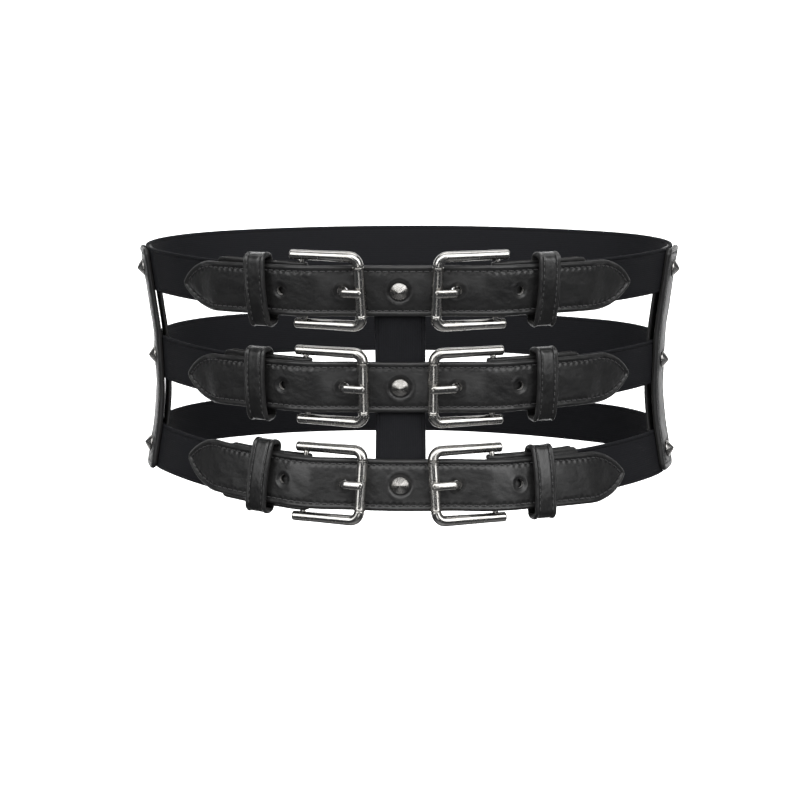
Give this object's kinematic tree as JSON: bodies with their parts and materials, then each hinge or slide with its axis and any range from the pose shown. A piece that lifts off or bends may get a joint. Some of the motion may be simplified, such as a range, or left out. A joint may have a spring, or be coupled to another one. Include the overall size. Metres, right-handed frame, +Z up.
{
  "type": "waist belt",
  "caption": "Harness waist belt: stacked pointed leather straps in roller buckles, joined by upright straps with cone studs and held round the back by elastic bands.",
  "frame": {"origin": "centre of the waist hollow, level with the middle row", "axes": "+Z up the body, -Y out of the front where the cone studs of the front straps point, +X to the right as seen from the front"},
  "size_m": [0.2789, 0.2142, 0.1328],
  "materials": {
    "leather": "semi-gloss black faux leather with a fine grain",
    "elastic": "matte blue-black woven elastic",
    "nickel": "polished nickel plate"
  },
  "bodies": {
    "root": {"front_strap_upper": "leather", "elastic_band_upper": "elastic", "stud_upper_centre": "nickel", "stud_upper_left": "nickel", "stud_upper_right": "nickel", "front_strap_middle": "leather", "elastic_band_middle": "elastic", "stud_middle_centre": "nickel", "stud_middle_left": "nickel", "stud_middle_right": "nickel", "front_strap_lower": "leather", "elastic_band_lower": "elastic", "stud_lower_centre": "nickel", "stud_lower_left": "nickel", "stud_lower_right": "nickel", "buckle_frame_upper_left": "nickel", "roller_upper_left": "nickel", "prong_upper_left": "nickel", "chape_upper_left": "leather", "keeper_upper_left": "leather", "buckle_frame_upper_right": "nickel", "roller_upper_right": "nickel", "prong_upper_right": "nickel", "chape_upper_right": "leather", "keeper_upper_right": "leather", "buckle_frame_middle_left": "nickel", "roller_middle_left": "nickel", "prong_middle_left": "nickel", "chape_middle_left": "leather", "keeper_middle_left": "leather", "buckle_frame_middle_right": "nickel", "roller_middle_right": "nickel", "prong_middle_right": "nickel", "chape_middle_right": "leather", "keeper_middle_right": "leather", "buckle_frame_lower_left": "nickel", "roller_lower_left": "nickel", "prong_lower_left": "nickel", "chape_lower_left": "leather", "keeper_lower_left": "leather", "buckle_frame_lower_right": "nickel", "roller_lower_right": "nickel", "prong_lower_right": "nickel", "chape_lower_right": "leather", "keeper_lower_right": "leather", "centre_strap": "elastic", "side_strap_left": "leather", "side_backing_left": "leather", "side_strap_right": "leather", "side_backing_right": "leather"}
  },
  "joints": []
}
